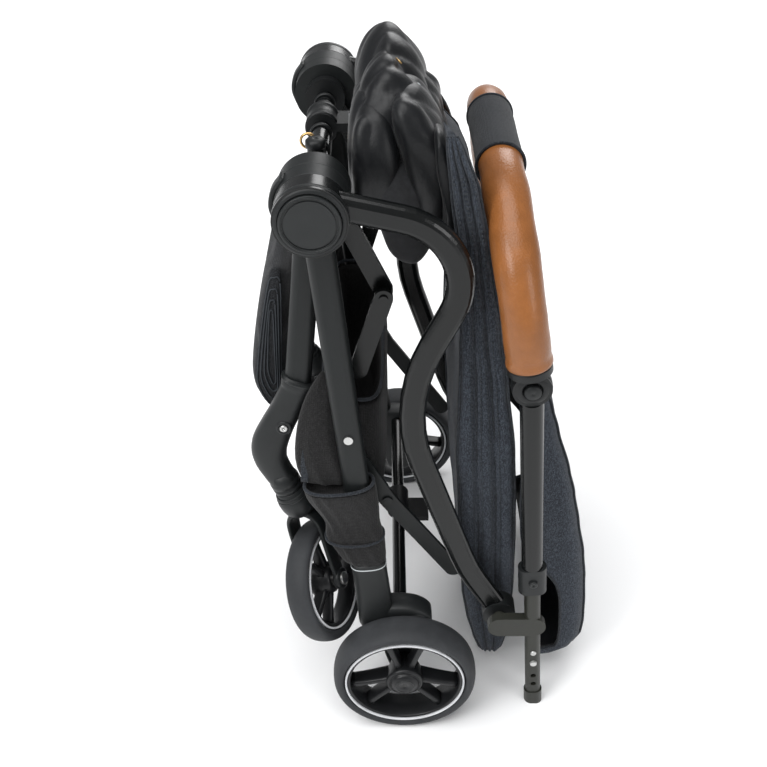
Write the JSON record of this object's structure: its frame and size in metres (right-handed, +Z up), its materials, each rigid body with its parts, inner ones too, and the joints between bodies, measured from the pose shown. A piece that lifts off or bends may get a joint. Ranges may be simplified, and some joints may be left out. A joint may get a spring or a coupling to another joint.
{
  "type": "folding baby stroller",
  "caption": "Compact folding stroller, folded upright: hub-jointed legs, swivel front casters, telescopic handle with tilting grip, canopy, basket.",
  "frame": {"origin": "on the floor, at the middle of the overall box", "axes": "+X towards the handle and the back, -X towards the front casters, +Y across the width towards the right-hand wheels, +Z up"},
  "size_m": [0.337, 0.416, 0.6795],
  "materials": {
    "basket_fabric": "charcoal woven",
    "black_plastic": "matte",
    "cap": "satin dark grey",
    "casting": "matte moulded nylon",
    "frame_tube": "satin dark grey-green powder coat",
    "gloss_tube": "gloss black paint",
    "grip_leather": "tan brown leatherette",
    "inner_alu": "olive grey anodised",
    "melange_fabric": "blue grey heather",
    "pad_fabric": "dark grey quilted",
    "pale_plastic": "matte pale grey",
    "pedal": "matte black",
    "rim": "satin black with a pale rim ring",
    "satin_fabric": "black satin",
    "sleeve_fabric": "ribbed dark fabric",
    "steel": "zinc plated",
    "tyre": "matte grey-black rubber"
  },
  "bodies": {
    "rear_frame": {"cross_tube": "gloss_tube", "hub_pins": "black_plastic", "cross_clamp": "black_plastic", "clamp_knob": "black_plastic", "catch_plate": "pale_plastic", "left_rear_leg": "frame_tube", "right_rear_leg": "frame_tube", "left_rear_housing": "casting", "right_rear_housing": "casting", "rear_cross_bar": "gloss_tube", "rear_axles": "steel", "leg_screws": "steel", "basket": "basket_fabric", "left_seat_bracket": "gloss_tube", "right_seat_bracket": "gloss_tube"},
    "front_frame": {"left_front_leg": "frame_tube", "right_front_leg": "frame_tube", "left_elbow": "casting", "right_elbow": "casting", "footrest_bar": "gloss_tube", "leg_rest_pad": "pad_fabric"},
    "left_caster": {"left_caster_fork": "casting", "caster_axles_left": "steel"},
    "right_caster": {"right_caster_fork": "casting", "caster_axles_right": "steel"},
    "left_front_wheel": {"left_front_tyre": "tyre", "left_front_rim": "rim"},
    "right_front_wheel": {"right_front_tyre": "tyre", "right_front_rim": "rim"},
    "left_rear_wheel": {"left_rear_tyre": "tyre", "left_rear_rim": "rim"},
    "right_rear_wheel": {"right_rear_tyre": "tyre", "right_rear_rim": "rim"},
    "brake": {"brake_pedal": "pedal"},
    "push_frame": {"left_side_tube": "gloss_tube", "right_side_tube": "gloss_tube", "hub_caps": "cap", "left_knuckle": "casting", "right_knuckle": "casting", "seat_back_cover": "satin_fabric", "canopy_rear": "melange_fabric"},
    "canopy": {"canopy_front": "melange_fabric"},
    "seat_links": {"left_seat_link": "gloss_tube", "right_seat_link": "gloss_tube"},
    "seat_rails": {"left_seat_rail": "frame_tube", "right_seat_rail": "frame_tube"},
    "lower_handle": {"left_inner_tube": "inner_alu", "right_inner_tube": "inner_alu", "tail_rivets": "steel"},
    "upper_handle": {"left_outer_tube": "gloss_tube", "right_outer_tube": "gloss_tube", "left_connector": "casting", "right_connector": "casting", "left_tilt_joint": "black_plastic", "right_tilt_joint": "black_plastic"},
    "grip": {"grip_bar": "grip_leather", "grip_sleeve": "sleeve_fabric", "grip_joints": "black_plastic"},
    "left_button": {"left_tilt_button": "black_plastic"},
    "right_button": {"right_tilt_button": "black_plastic"}
  },
  "joints": [
    {"name": "frame_fold", "type": "hinge", "parent": "rear_frame", "child": "push_frame", "pos_m": [-0.101, 0, 0.5835], "axis": [0, -1, 0], "range_deg": [0, 74]},
    {"name": "front_leg_fold", "type": "hinge", "parent": "rear_frame", "child": "front_frame", "pos_m": [-0.101, 0, 0.5835], "axis": [0, 1, 0], "range_deg": [0, 56]},
    {"name": "handle_fold", "type": "hinge", "parent": "push_frame", "child": "lower_handle", "pos_m": [0.07507, 0, 0.12633], "axis": [0, 1, 0], "range_deg": [0, 169]},
    {"name": "seat_link_fold", "type": "hinge", "parent": "rear_frame", "child": "seat_links", "pos_m": [-0.045, 0, 0.481], "axis": [0, -1, 0], "range_deg": [0, 40]},
    {"name": "seat_rail_fold", "type": "hinge", "parent": "rear_frame", "child": "seat_rails", "pos_m": [-0.074, 0, 0.33], "axis": [0, -1, 0], "range_deg": [0, 45]},
    {"name": "handle_height", "type": "slide", "parent": "lower_handle", "child": "upper_handle", "axis": [-0.0908, 0, 0.9959], "range_m": [0, 0.12]},
    {"name": "grip_tilt", "type": "hinge", "parent": "upper_handle", "child": "grip", "pos_m": [0.0805, 0, 0.433], "axis": [0, 1, 0], "range_deg": [0, 75]},
    {"name": "left_button_press", "type": "slide", "parent": "upper_handle", "child": "left_button", "axis": [0, 1, 0], "range_m": [0, 0.003], "stiffness_N_per_m": 400, "springref_m": -0.001},
    {"name": "right_button_press", "type": "slide", "parent": "upper_handle", "child": "right_button", "axis": [0, -1, 0], "range_m": [0, 0.003], "stiffness_N_per_m": 400, "springref_m": -0.001},
    {"name": "canopy_swing", "type": "hinge", "parent": "push_frame", "child": "canopy", "pos_m": [0.049, 0, 0.395], "axis": [0, -1, 0], "range_deg": [0, 55]},
    {"name": "brake_press", "type": "hinge", "parent": "rear_frame", "child": "brake", "pos_m": [-0.028, 0, 0.136], "axis": [0, 1, 0], "range_deg": [0, 25]},
    {"name": "left_caster_swivel", "type": "hinge", "parent": "front_frame", "child": "left_caster", "pos_m": [-0.1385, -0.118, 0.27], "axis": [-0.3584, 0, 0.9336], "range_deg": [-150, 5]},
    {"name": "left_front_wheel_spin", "type": "hinge", "parent": "left_caster", "child": "left_front_wheel", "pos_m": [-0.1048, -0.14203, 0.16297], "axis": [0.8974, -0.2756, 0.3445], "continuous": true},
    {"name": "left_rear_wheel_spin", "type": "hinge", "parent": "rear_frame", "child": "left_rear_wheel", "pos_m": [-0.023, -0.191, 0.074], "axis": [0, 1, 0], "continuous": true},
    {"name": "right_caster_swivel", "type": "hinge", "parent": "front_frame", "child": "right_caster", "pos_m": [-0.1385, 0.118, 0.27], "axis": [-0.3584, 0, 0.9336], "range_deg": [-5, 150]},
    {"name": "right_front_wheel_spin", "type": "hinge", "parent": "right_caster", "child": "right_front_wheel", "pos_m": [-0.1048, 0.14203, 0.16297], "axis": [0.8974, 0.2756, 0.3445], "continuous": true},
    {"name": "right_rear_wheel_spin", "type": "hinge", "parent": "rear_frame", "child": "right_rear_wheel", "pos_m": [-0.023, 0.191, 0.074], "axis": [0, 1, 0], "continuous": true}
  ],
  "couplings": [
    {"joint": "front_leg_fold", "follows": "frame_fold", "ratio": 0.75668},
    {"joint": "handle_fold", "follows": "frame_fold", "ratio": 2.2836},
    {"joint": "seat_link_fold", "follows": "frame_fold", "ratio": 0.54049},
    {"joint": "seat_rail_fold", "follows": "frame_fold", "ratio": 0.60805}
  ]
}
